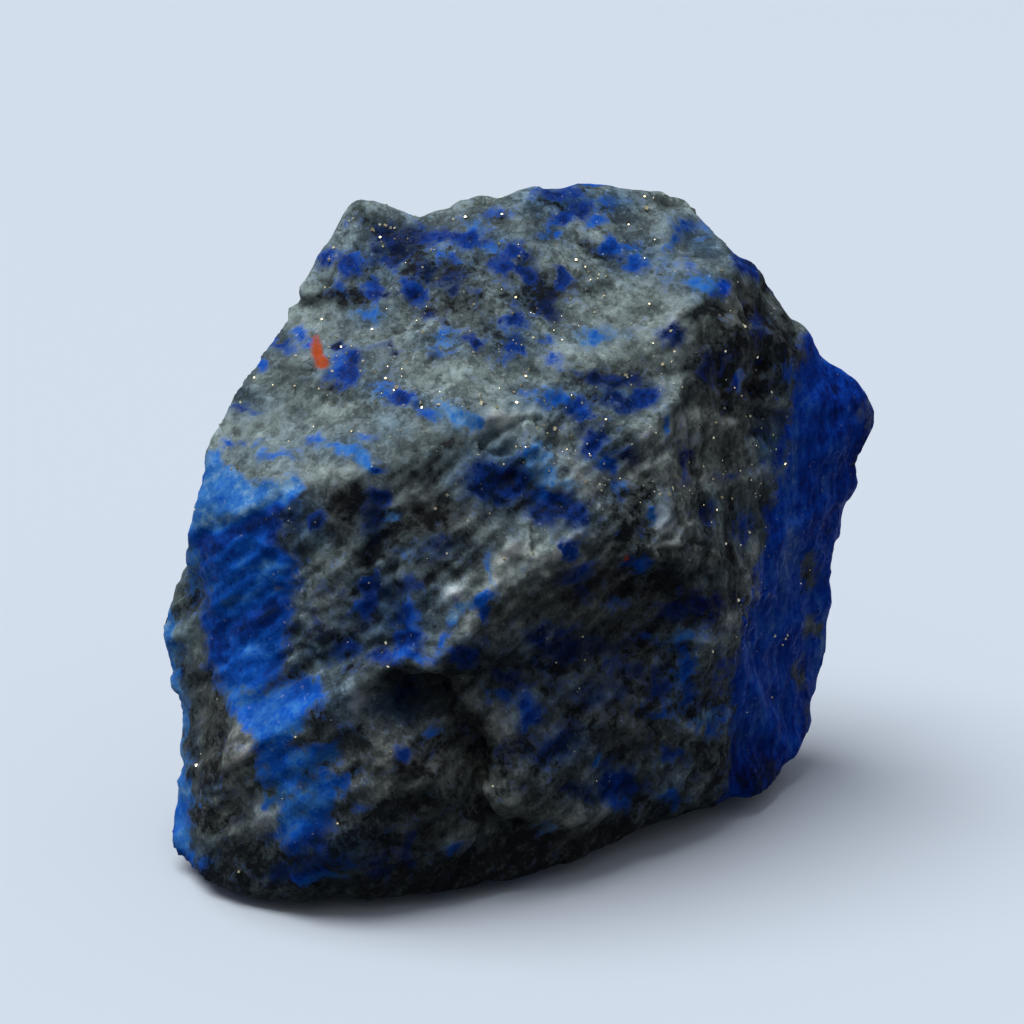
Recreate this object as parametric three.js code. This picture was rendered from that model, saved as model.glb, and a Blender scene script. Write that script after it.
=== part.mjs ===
// A fist-sized rough lapis lazuli: one broken piece of blue-veined rock, standing on its flattest break.
// Millimetres, +Z up. X runs along the stone's width, and -Y is the side with the stepped fracture.
// The origin is the middle of the stone's footprint, on the surface that it stands on.
//
// The stone is star-shaped about a point deep inside it. Its corners are joined by the faces that a
// convex hull of their directions from that point has, so each corner may lie as deep as the break does.
// The faces are then split small and roughened along the same directions.

import * as THREE from "three";
import { ConvexHull } from "three/addons/math/ConvexHull.js";
import { ImprovedNoise } from "three/addons/math/ImprovedNoise.js";
import { TessellateModifier } from "three/addons/modifiers/TessellateModifier.js";
import { mergeVertices } from "three/addons/utils/BufferGeometryUtils.js";

const heart = new THREE.Vector3(0, 0, 38); // the point that every corner is seen from
const longestEdge = 4.5; // no triangle side is longer than this
const footClearance = 5; // height over which the roughness fades out towards the flat foot

// The roughness: heights in mm, each with the size in mm of its lumps.
const swells = { height: 1.3, size: 12 };
const lumps = { height: 0.9, size: 5.5 };

// The bedding that shows as slanted steps on the lower left of the front.
const bedding = {
  centre: new THREE.Vector3(-14, -32, 14),
  reach: 19,
  rise: new THREE.Vector3(-0.62, 0, 0.79), // across the layers
  spacing: 5.2,
  height: 0.6,
};

// Bowl-shaped scars that flakes and grains left: the middle of each, its radius and its depth.
const scars = [
  { at: [-3.5, -20, 58], radius: 5, depth: 2.4 }, // under the brow of the top face
  { at: [0, -22, 51], radius: 6, depth: 1.2 }, // the blue hollow of the shoulder
  { at: [-12, -29, 28.5], radius: 5.5, depth: 2.4 }, // the dark hole under the ledge
  { at: [12, -3, 71], radius: 11, depth: 1.6 }, // the smooth flake scar of the top face
  { at: [31, 3, 57], radius: 7, depth: 1.5 }, // the pitted stretch of the right-hand face
  { at: [-14, 30, 52], radius: 14, depth: 2.4 }, // three flake scars of the back
  { at: [22, 33, 25], radius: 13, depth: 2.2 },
  { at: [-22, 26, 16], radius: 10, depth: 1.8 },
];

// The corners, as [x, y, z], by the break that they bound.
const corners = {
  crest: [
    [-23, 9, 80], [-21.5, 9, 82.5], [-13.5, 9, 80], [-9.5, 10, 81.5], [-5, 11, 81.5], [2.5, 13, 83.5],
    [11, 15, 83.5], [20, 17, 80.5], [24.5, 17, 77], [28, 14, 73.5],
  ],
  topFace: [[-22, 5.5, 76.8], [-21.5, -4, 67], [-5, -3, 71.5], [10.5, 4, 75], [18, 5, 73.5]],
  brow: [
    [-35, -18, 48], [-29, -20, 51.5], [-22, -22, 53], [-14.5, -21, 56], [-7.5, -20, 58], [6, -11, 63.5],
    [15, -6.5, 65.5], [19, -3.5, 68.5], [22.5, 0, 70.5], [28, 8, 74],
  ],
  leftOutline: [
    [-44.5, -16, 4], [-43.5, -12, 18], [-46, -9, 28], [-45.5, -9.5, 32.5], [-43, -10, 37], [-43, -11.5, 42.5],
    [-40.5, -13, 48], [-37.5, -8, 56.5], [-32.5, -2, 64.5], [-28.5, 3, 70],
  ],
  veinFace: [
    [-27, -24, 38.5], [-14.5, -25, 44], [-14.5, -28, 34.5], [-33.5, -21, 37.5], [-38, -17, 41.5],
    [-38.5, -18, 31], [-37.5, -21, 24],
  ],
  ledge: [[-35, -25, 25], [-23.5, -28, 31], [-34.5, -29, 21.5], [-23, -32, 28.5], [-17, -31.5, 32]],
  shoulder: [
    [10, -16, 55.5], [3.5, -21, 50.5], [-3.5, -25, 48], [7.5, -22.5, 45.5], [4, -25, 43.5], [-3.5, -29, 40],
    [-9, -28, 41], [-10, -32, 33], [-12, -31, 35.5],
  ],
  overhang: [[10, -21, 38.5], [25, -12, 32.5], [0, -24, 30.5], [10, -19, 30], [20.5, -13, 31.5]],
  lowerFront: [[10, -22, 21], [10, -21, 9.5], [1, -25.5, 6.5], [18, -16, 9.5], [22, -12.5, 19.5], [25, -8, 7]],
  belly: [
    [-39.5, -26, 11], [-29.5, -32, 15.5], [-14.5, -34, 21.5], [-8.5, -28.5, 25], [-8, -32.5, 15.5],
    [-18.5, -35, 10], [-27, -35, 7], [-11, -26.5, 28], [-5.5, -26, 20], [-4.5, -27, 10.5], [-1.5, -29.5, 15.5],
    [5, -26, 13.5],
  ],
  uprightEdge: [[20.5, -4, 66], [19.5, -9, 60], [18.5, -12, 54], [18, -15, 47.5], [18, -17, 42.5]],
  rightFace: [
    [28.5, 1, 66.5], [27, -3, 55.5], [26.5, -7, 43.5], [28.5, -6, 32.5], [30.5, -3, 20], [37, 11, 61.5],
    [35, 7, 54.5], [33, 4, 45.5], [31.5, 1, 35.5], [30, 0, 23.5], [29, -1, 9.5],
  ],
  rightOutline: [
    [32, 14, 71], [32.5, 14, 69], [40, 16, 61], [47, 19, 53.5], [48, 19, 50.5], [46.5, 18, 41], [45, 18, 38.5],
    [43.5, 17, 32], [43.5, 17, 23], [41.5, 17, 12], [38, 9, 4],
  ],
  backCrest: [[-10, 22, 75], [12, 27, 74], [26, 26, 67]],
  backBrow: [[-12, 28, 62], [8, 36, 60], [25, 33, 57], [38, 25, 52]],
  leftBackEdge: [[-31, 13, 61], [-36, 16, 46], [-39, 18, 28], [-37, 19, 11]],
  backEdge: [[5, 40, 44], [3, 40, 27], [1, 37, 11]],
  backFaces: [[-17, 27, 43], [-18, 28, 23], [25, 32, 40], [23, 32, 21], [41, 27, 36], [39, 26, 18]],
  lowerRim: [
    [-44, -18.5, 2], [-40, -27, 2], [-34, -30.5, 1.5], [-27, -33, 2], [-9, -30, 2], [1, -25, 2], [9, -19.5, 3],
    [13, -16, 2.5], [16, -13, 3.5], [28, -4, 3.5], [33, -1, 3.5], [37, 17, 5], [26, 27, 4], [-3, 31, 4],
    [-20, 26, 4], [-35, 18, 4], [-42, 2, 4],
  ],
  foot: [
    [-37, -19, 0], [-25, -27, 0], [-9, -23, 0], [4, -14, 0], [19, -3, 0], [29, 7, 0], [31, 15, 0], [18, 22, 0],
    [-6, 23, 0], [-27, 13, 0], [-37, -2, 0],
  ],
};

// The faces between the corners, as triangles whose corners run anticlockwise seen from outside.
function facesBetween(points) {
  const cornerOf = new Map();
  for (const point of points) {
    cornerOf.set(point.clone().sub(heart).normalize(), point);
  }
  const hull = new ConvexHull().setFromPoints([...cornerOf.keys()]);
  const positions = [];
  for (const face of hull.faces) {
    let edge = face.edge;
    do {
      positions.push(...cornerOf.get(edge.head().point).toArray());
      edge = edge.next;
    } while (edge !== face.edge);
  }
  return new THREE.BufferGeometry().setAttribute("position", new THREE.Float32BufferAttribute(positions, 3));
}

const noise = new ImprovedNoise();
const noiseAt = (point, size) => noise.noise(point.x / size, point.y / size, point.z / size);

// How far a point of the smooth faces moves outwards, in mm.
function roughness(point) {
  let out = swells.height * noiseAt(point, swells.size) + lumps.height * noiseAt(point, lumps.size);

  const layer = point.dot(bedding.rise) / bedding.spacing;
  const nearness = 1 - THREE.MathUtils.smoothstep(point.distanceTo(bedding.centre), bedding.reach / 2, bedding.reach);
  out += bedding.height * nearness * (1 - 2 * (layer - Math.floor(layer)));

  for (const scar of scars) {
    const away = point.distanceTo(new THREE.Vector3(...scar.at)) / scar.radius;
    out -= scar.depth * Math.max(0, 1 - away * away);
  }
  return out * THREE.MathUtils.smoothstep(point.z, 0.5, footClearance);
}

function stoneGeometry() {
  const points = Object.values(corners).flat().map((xyz) => new THREE.Vector3(...xyz));
  const split = new TessellateModifier(longestEdge, 12).modify(facesBetween(points));
  split.deleteAttribute("normal");
  const geometry = mergeVertices(split, 1e-3);
  const position = geometry.attributes.position;
  const point = new THREE.Vector3();
  for (let i = 0; i < position.count; i++) {
    point.fromBufferAttribute(position, i);
    const outwards = point.clone().sub(heart).normalize();
    point.addScaledVector(outwards, roughness(point));
    position.setXYZ(i, point.x, point.y, Math.max(point.z, 0));
  }
  geometry.computeBoundingBox();
  const middle = geometry.boundingBox.getCenter(new THREE.Vector3());
  geometry.translate(-middle.x, -middle.y, 0);
  geometry.computeVertexNormals();
  return geometry;
}

const rock = new THREE.MeshStandardMaterial({ color: 0x5d6f86, roughness: 0.72, metalness: 0 });
const stone = new THREE.Mesh(stoneGeometry(), rock);
stone.name = "lapis_stone";

const group = new THREE.Group();
group.add(stone);

export default group;
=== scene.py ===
import bpy
import numpy as np
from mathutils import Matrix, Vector


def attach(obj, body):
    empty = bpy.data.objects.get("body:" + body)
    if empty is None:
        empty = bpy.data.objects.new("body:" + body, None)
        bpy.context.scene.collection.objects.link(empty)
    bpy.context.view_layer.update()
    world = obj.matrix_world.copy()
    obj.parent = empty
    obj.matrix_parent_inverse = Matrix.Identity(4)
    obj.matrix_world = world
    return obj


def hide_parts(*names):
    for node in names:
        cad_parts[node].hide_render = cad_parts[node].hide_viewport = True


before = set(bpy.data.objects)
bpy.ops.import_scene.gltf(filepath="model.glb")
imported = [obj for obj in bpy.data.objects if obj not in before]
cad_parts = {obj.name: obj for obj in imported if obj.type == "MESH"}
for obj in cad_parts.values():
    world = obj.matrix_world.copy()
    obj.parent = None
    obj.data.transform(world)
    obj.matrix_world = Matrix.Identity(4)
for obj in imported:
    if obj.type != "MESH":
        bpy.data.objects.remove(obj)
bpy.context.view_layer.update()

# A rough lapis lazuli, dressed for the studio. Lengths are in millimetres and become metres in the meshes.
mm = 0.001

# Where the camera stands. Places on the stone's front are given as it sees them, in pixels of a 1024 frame.
view = {
    "elevation": 17,  # degrees above level
    "distance": 372,
    "aim": (-2.10, -2.31, 42.42),
    "lens": 100,
    "sensor": 36,
    "framePixels": 1024,
    "farthest": 20000,
}


# Small tools.

def unit(vectors):  # v / |v|, row by row
    vectors = np.asarray(vectors, float)
    return vectors / np.linalg.norm(vectors, axis=-1, keepdims=True)


def smoothStep(values, low, high):  # t = (v - low) / (high - low), held to 0..1; 3t^2 - 2t^3
    t = np.clip((values - low) / (high - low), 0, 1)
    return t * t * (3 - 2 * t)


def linearColour(hexText):  # sRGB hex to linear: ((c + 0.055) / 1.055)^2.4, or c / 12.92 when dark
    c = np.array([int(hexText[i:i + 2], 16) for i in (1, 3, 5)]) / 255
    c = np.where(c <= 0.04045, c / 12.92, ((c + 0.055) / 1.055) ** 2.4)
    return (*[float(x) for x in c], 1.0)


def cameraAxes():  # forward looks down by the elevation, right is +X, up = right x forward
    tilt = np.radians(view["elevation"])
    forward = np.array([0, np.cos(tilt), -np.sin(tilt)])
    right = np.array([1.0, 0, 0])
    return right, np.cross(right, forward), forward


def inFrame(points):
    # Pinhole: u = middle + pixels * lens / sensor * (q . right) / (q . forward), and v the same way down.
    right, up, forward = cameraAxes()
    away = points - (np.array(view["aim"]) - view["distance"] * forward)
    scale = view["framePixels"] * view["lens"] / view["sensor"] / (away @ forward)
    middle = view["framePixels"] / 2
    return middle + scale * (away @ right), middle - scale * (away @ up)


def rows(text):  # one row of numbers for each word, leaving out the lines that begin with #
    lines = [line for line in text.splitlines() if not line.strip().startswith("#")]
    return [[float(number) for number in word.split(",")] for word in " ".join(lines).split()]


def patches(text, measures=1):
    # Each word: u, v, half width, half height, its measures, and a tilt if it has one.
    made = []
    for u, v, halfU, halfV, *rest in rows(text):
        tilt = rest.pop() if len(rest) > measures else 0
        made.append((u, v, halfU, halfV, tilt, *rest))
    return made


# Noise, worked out for all points at once.

noise = {
    "seed": 20,
    "shift": 17.31,  # cells that each new seed moves the noise by
    "chipShift": 9.17,
    "gain": 1.7,  # brings the noise to between -1 and 1
}
dice = np.random.default_rng(noise["seed"])
latticeOrder = dice.permutation(256)
latticeSlope = unit(dice.normal(size=(256, 3)))
latticeShift = dice.random((256, 3))
latticeTilt = dice.normal(size=(256, 3))


def latticeNumber(cell):  # one shuffled number from 0 to 255 for each whole-number cell
    mixed = latticeOrder[cell[:, 0] & 255]
    mixed = latticeOrder[(mixed + cell[:, 1]) & 255]
    return latticeOrder[(mixed + cell[:, 2]) & 255]


def noiseAt(points, size, seed=0):  # gradient noise: sum over the cell's corners of slope . offset * fade
    spot = points / size + seed * noise["shift"]
    cell = np.floor(spot).astype(int)
    part = spot - cell
    fade = part ** 3 * (part * (part * 6 - 15) + 10)
    total = np.zeros(len(points))
    for corner in np.ndindex(2, 2, 2):
        slope = latticeSlope[latticeNumber(cell + corner)]
        weight = np.where(corner, fade, 1 - fade).prod(1)
        total += (slope * (part - corner)).sum(1) * weight
    return total * noise["gain"]


def layersAt(points, size, seed=0, layers=2):  # sum of noise at size / 2^k, each half as high as the last
    return sum(noiseAt(points, size / 2 ** k, seed + k) / 2 ** k for k in range(layers))


def chipsAt(points, size, seed=0):  # flat chips: tilt . (point - middle) of the nearest scattered middle
    spot = points / size + seed * noise["chipShift"]
    cell = np.floor(spot).astype(int)
    nearest = np.full(len(points), np.inf)
    height = np.zeros(len(points))
    for step in np.ndindex(3, 3, 3):
        here = cell + step - 1
        number = latticeNumber(here)
        away = spot - here - latticeShift[number]
        distance = (away ** 2).sum(1)
        closer = distance < nearest
        height = np.where(closer, (away * latticeTilt[number]).sum(1), height)
        nearest = np.minimum(nearest, distance)
    return height


def squeezed(points, direction, times):  # p + d (p . d) (times - 1): noise on it is that much finer along d
    direction = unit(direction)
    return points + np.outer(points @ direction, direction) * (times - 1)


# The stone's grid: six square grids of equal angles, joined at their seams.

stone = {
    "node": "lapis_stone",
    "heart": (-1.06, -2.31, 38),  # the point inside that every part of the surface can be seen from
    "cells": 127,  # along each side of a grid, which keeps the piece under 200,000 triangles
    "rounding": 7,  # passes of averaging that take the facets out of the solid
    "crispness": 0.9,  # share of what a wider averaging loses that is put back, so that ridges stay sharp
    "footFlat": 0.02,  # what is lower than this is the foot itself
    "footFade": (0.3, 4.0),  # the relief comes in between these heights above the foot
    "raysAtOnce": 2048,
}


def sphereGrid(cells):  # axis + tan(a) * across + tan(b) * upward, a and b from -45 to 45 degrees
    steps = np.tan(np.linspace(-np.pi / 4, np.pi / 4, cells + 1))
    a, b = np.meshgrid(steps, steps, indexing="ij")
    corner = np.arange((cells + 1) ** 2).reshape(cells + 1, cells + 1)
    quad = np.stack([corner[:-1, :-1], corner[1:, :-1], corner[1:, 1:], corner[:-1, 1:]], -1).reshape(-1, 4)
    points, quads = [], []
    for k in range(3):
        for side in (1, -1):
            axis = np.eye(3)[k] * side
            across = np.eye(3)[(k + 1) % 3]
            upward = np.cross(axis, across)
            points.append((axis + a[..., None] * across + b[..., None] * upward).reshape(-1, 3))
            quads.append(quad + len(quads) * corner.size)
    directions = unit(np.concatenate(points))
    _, first, index = np.unique(directions.round(6), axis=0, return_index=True, return_inverse=True)
    return directions[first], index.reshape(-1)[np.concatenate(quads)]


def castFromHeart(directions, heart, triangles):
    # Ray d lies in triangle abc when d . (a x b), d . (b x c) and d . (c x a) are all positive. It meets
    # its plane, with normal n, at n . a / n . d. The triangle whose least of the three is largest wins.
    a, b, c = (triangles[:, k] - heart for k in range(3))
    sides = [unit(np.cross(p, q)).T.astype(np.float32) for p, q in ((a, b), (b, c), (c, a))]
    normal = np.cross(b - a, c - a)
    reach = (normal * a).sum(1)
    radius = np.empty(len(directions))
    for start in range(0, len(directions), stone["raysAtOnce"]):
        batch = slice(start, start + stone["raysAtOnce"])
        rays = directions[batch]
        least = rays.astype(np.float32) @ sides[0]
        for side in sides[1:]:
            np.minimum(least, rays.astype(np.float32) @ side, out=least)
        hit = least.argmax(1)
        radius[batch] = reach[hit] / (normal[hit] * rays).sum(1)
    return radius


def edgesOf(quads):  # each side of each quad once
    pairs = np.sort(np.concatenate([quads[:, [k, (k + 1) % 4]] for k in range(4)]), axis=1)
    return np.unique(pairs, axis=0).T


def averaged(values, edges, passes):  # each value becomes the mean of itself and its neighbours' mean
    ends = np.bincount(np.concatenate(edges), minlength=len(values))
    for _ in range(passes):
        near = np.bincount(edges[0], values[edges[1]], len(values))
        near += np.bincount(edges[1], values[edges[0]], len(values))
        values = (values + near / ends) / 2
    return values


def normalsOf(points, quads):  # the cross product of each quad's diagonals, summed at its corners
    face = np.cross(points[quads[:, 2]] - points[quads[:, 0]], points[quads[:, 3]] - points[quads[:, 1]])
    normal = np.stack([sum(np.bincount(quads[:, k], face[:, axis], len(points)) for k in range(4))
                       for axis in range(3)], 1)
    return unit(normal)


print("casting the stone's grid")
heart = np.array(stone["heart"])
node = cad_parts[stone["node"]]
corners = np.zeros(len(node.data.vertices) * 3, np.float32)
node.data.vertices.foreach_get("co", corners)
node.data.calc_loop_triangles()
order = np.zeros(len(node.data.loop_triangles) * 3, np.int32)
node.data.loop_triangles.foreach_get("vertices", order)
solid = corners.reshape(-1, 3)[order.reshape(-1, 3)].astype(float) / mm

directions, quads = sphereGrid(stone["cells"])
edges = edgesOf(quads)
radius = castFromHeart(directions, heart, solid)
cast = heart + directions * radius[:, None]
rounded = averaged(radius, edges, stone["rounding"])
rounded += stone["crispness"] * (rounded - averaged(rounded, edges, 2 * stone["rounding"]))
onFoot = cast[:, 2] < stone["footFlat"]
awayFromFoot = smoothStep(cast[:, 2], *stone["footFade"])
radius += (rounded - radius) * awayFromFoot
base = heart + directions * radius[:, None]
normals = normalsOf(base, quads)


# Outlines and patches, as the camera sees them.

def distanceToSide(u, v, start, end):  # from the nearest point of the side, start + (end - start) * 0..1
    (u0, v0), (u1, v1) = start, end
    du, dv = u1 - u0, v1 - v0
    along = np.clip(((u - u0) * du + (v - v0) * dv) / (du * du + dv * dv), 0, 1)
    return np.hypot(u - u0 - along * du, v - v0 - along * dv)


def insideOutline(u, v, outline):  # pixels to the outline's nearest side, negative outside it
    nearest = np.full(len(u), np.inf)
    crossings = np.zeros(len(u), int)
    for (u0, v0), (u1, v1) in zip(outline, outline[1:] + outline[:1]):
        nearest = np.minimum(nearest, distanceToSide(u, v, (u0, v0), (u1, v1)))
        if v1 != v0:
            crossings += ((v0 > v) != (v1 > v)) & (u < u0 + (v - v0) / (v1 - v0) * (u1 - u0))
    return np.where(crossings % 2, nearest, -nearest)


def lineHeight(u, v, route, width):  # 1 on a broken line through the points, falling to 0 at its width
    nearest = np.min([distanceToSide(u, v, *side) for side in zip(route[:-1], route[1:])], axis=0)
    return np.clip(1 - (nearest / width) ** 2, 0, 1)


def patch(u, v, atU, atV, halfU, halfV, tilt):
    # 1 / 2^(r^2), with r = 1 on the oval's rim. The tilt, in degrees, lifts its right-hand end.
    turn = np.radians(tilt)
    along = ((u - atU) * np.cos(turn) - (v - atV) * np.sin(turn)) / halfU
    across = ((u - atU) * np.sin(turn) + (v - atV) * np.cos(turn)) / halfV
    return 0.5 ** (along ** 2 + across ** 2)


def highest(u, v, ovals):  # the greatest of strength * patch
    return np.max([strength * patch(u, v, *oval) for *oval, strength in ovals], axis=0)


def summed(u, v, ovals):  # the sum of strength * patch
    return sum(strength * patch(u, v, *oval) for *oval, strength in ovals)


# The relief: what the breaks, the bedding and the grain do to the surface.

relief = {
    "beddingRise": (-0.62, 0.1, 0.78),  # across the layers of the rock
    "bedding": 4,  # how much finer the rock is across its layers than along them
    "fluting": 0.22,  # how much slower the fluted face changes upwards
    "wander": (2.8, 6),  # mm and pixels, by which the edges of patches wander
    "outlineSoftness": 10,  # pixels
    # roughness: the size and the height of its lumps
    "chips": (6.5, 0.34),
    "smallChips": (2.6, 0.2),
    "smallChipsOnTop": (2.6, 0.11),  # how much lower they are there
    "farChips": (13, 1.1),  # the side that the camera doesn't see breaks broadly
    "topLumps": (4.2, 0.22),
    "topGrit": (1.3, 0.09),
    "flutes": (2.6, 0.40),
    "flutedGrit": (1.3, 0.08),
    "beds": (7.0, 0.40),
    "lumpsBetween": (3.2, 0.26),
    "grit": (1.3, 0.08),
    "steps": (9.0, 0.35),  # of the bedding, low on the left
    "hollows": (12, 60, 0.4),  # passes that find small and broad hollows for the painted shade, and the share of the broad ones
    "rightFace": rows("""
    690,300 745,255 800,320 880,400 860,560 820,760 735,800 700,640 672,560 668,470 678,380
    """),
    "topFace": rows("""
    180,535 240,510 285,492 340,482 400,457 460,442 570,380 640,354 670,325 697,303 740,262 700,150 330,150
    180,400
    """),
    "lowerLeft": rows("250,740 330,700 390,690 450,720 480,800 500,900 260,910 240,830"),
    # pits, and below them lumps: u, v, half width, half height, depth or height in mm, tilt
    "pits": patches("""
    488,436,14,8,.6,45 598,251,16,5,.9,-25 410,690,36,20,.9,8 764,363,8,6,1.3 756,388,10,6,1.2,-20
    768,414,14,6,1.3,-15 757,434,8,4,.8,-25 690,714,4,3,.6 718,713,5,3,.6 775,695,4,4,.5 655,725,9,5,.6,-30
    345,298,24,6,.5,5 395,232,26,8,.5 605,372,30,8,.6,12 500,485,26,14,.7 378,590,12,12,.6
    430,505,22,8,.6,10 620,590,60,26,.8,20 805,570,5,18,.5 480,198,12,7,1.1 672,199,14,7,1 590,184,10,6,.8
    278,338,7,8,1 768,290,8,8,.8
    """),
    "lumps": patches("""
    508,795,14,11,.5,30 525,775,26,20,.8 510,712,18,16,.5 590,812,22,9,.6,15 540,545,36,20,.6,35
    450,590,14,12,.5 245,735,9,12,.5 265,812,12,14,.5 345,668,28,7,.5,18 690,640,26,7,.5 868,420,14,40,.9
    808,332,18,14,.7 178,852,12,18,1 498,418,20,10,.7 645,440,14,12,.7 664,520,8,18,.6 563,484,12,9,.5
    455,592,12,12,.6 355,690,16,10,.7,20 386,760,18,8,.6 491,788,9,8,.6 514,806,18,8,.5 250,754,14,8,.5,20
    270,818,12,12,.7 430,668,14,5,.6 572,818,30,9,.6,10 733,622,8,12,.5 760,598,16,6,.5 775,405,14,6,.5
    706,482,10,6,.4 289,308,7,8,1.2 865,452,7,20,1.2 180,742,6,12,.9
    """),
    # route, half width in pixels, depth in mm
    "grooves": [
        (rows("425,690 462,720 478,760 486,800"), 16, 0.5),
        (rows("665,556 690,543 705,540"), 5, 0.5),
        (rows("700,486 735,478 765,462"), 5, 0.5),
        (rows("560,790 600,800 650,775"), 6, 0.5),
        (rows("478,452 500,430 540,420"), 5, 0.5),
    ],
}

print("raising the relief")
u, v = inFrame(base)
wanderSize, wanderPixels = relief["wander"]
uSoft = u + wanderPixels * layersAt(base, wanderSize, 41, 3)
vSoft = v + wanderPixels * layersAt(base, wanderSize, 43, 3)
right, up, forward = cameraAxes()
facing = -(normals @ forward)
seen = smoothStep(facing, -0.1, 0.15)


def region(name):  # 1 well inside the named outline, 0 well outside, on the side that the camera sees
    soft = relief["outlineSoftness"]
    return smoothStep(insideOutline(uSoft, vSoft, relief[name]), -soft, soft) * seen


def rough(name, points, seed, pattern=noiseAt):  # height * pattern of that size
    size, height = relief[name]
    return height * pattern(points, size, seed)


onTop = np.maximum(region("topFace"), smoothStep(normals[:, 2], 0.45, 0.75))
onRight = np.maximum(region("rightFace"), smoothStep(normals[:, 0], 0.35, 0.7) * (1 - seen)) * (1 - onTop)
elsewhere = 1 - np.clip(onTop + onRight, 0, 1)

bedded = squeezed(base, relief["beddingRise"], relief["bedding"])
fluted = base * (1, 1, relief["fluting"])
chips = rough("chips", base, 1, chipsAt) + rough("smallChips", base, 2, chipsAt)
height = averaged(chips - onTop * rough("smallChipsOnTop", base, 2, chipsAt), edges, 1)
height += onTop * (rough("topLumps", base, 3, layersAt) + rough("topGrit", base, 8))
height += onRight * (rough("flutes", fluted, 5, layersAt) + rough("flutedGrit", base, 9))
height += elsewhere * (rough("beds", bedded, 6, layersAt) + rough("lumpsBetween", base, 7, layersAt))
height += elsewhere * rough("grit", base, 10) + region("lowerLeft") * rough("steps", bedded, 11)
height += smoothStep(-facing, 0.15, 0.5) * averaged(rough("farChips", base, 4, chipsAt), edges, 2)
height += seen * (summed(u, v, relief["lumps"]) - summed(u, v, relief["pits"]))
for route, width, depth in relief["grooves"]:
    height -= seen * depth * lineHeight(uSoft, vSoft, route, width)
height *= awayFromFoot

surface = base + normals * height[:, None]
surface[:, 2] = np.where(onFoot, 0, np.maximum(surface[:, 2], 0))
small, broad, broadShare = relief["hollows"]
# how far each point lies below its neighbours, which becomes painted shade in the hollows and painted light
# on what stands out
hollow = averaged(height, edges, small) - height + broadShare * (averaged(radius, edges, broad) - radius)


# The minerals: how much of each shows at each point.

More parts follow.
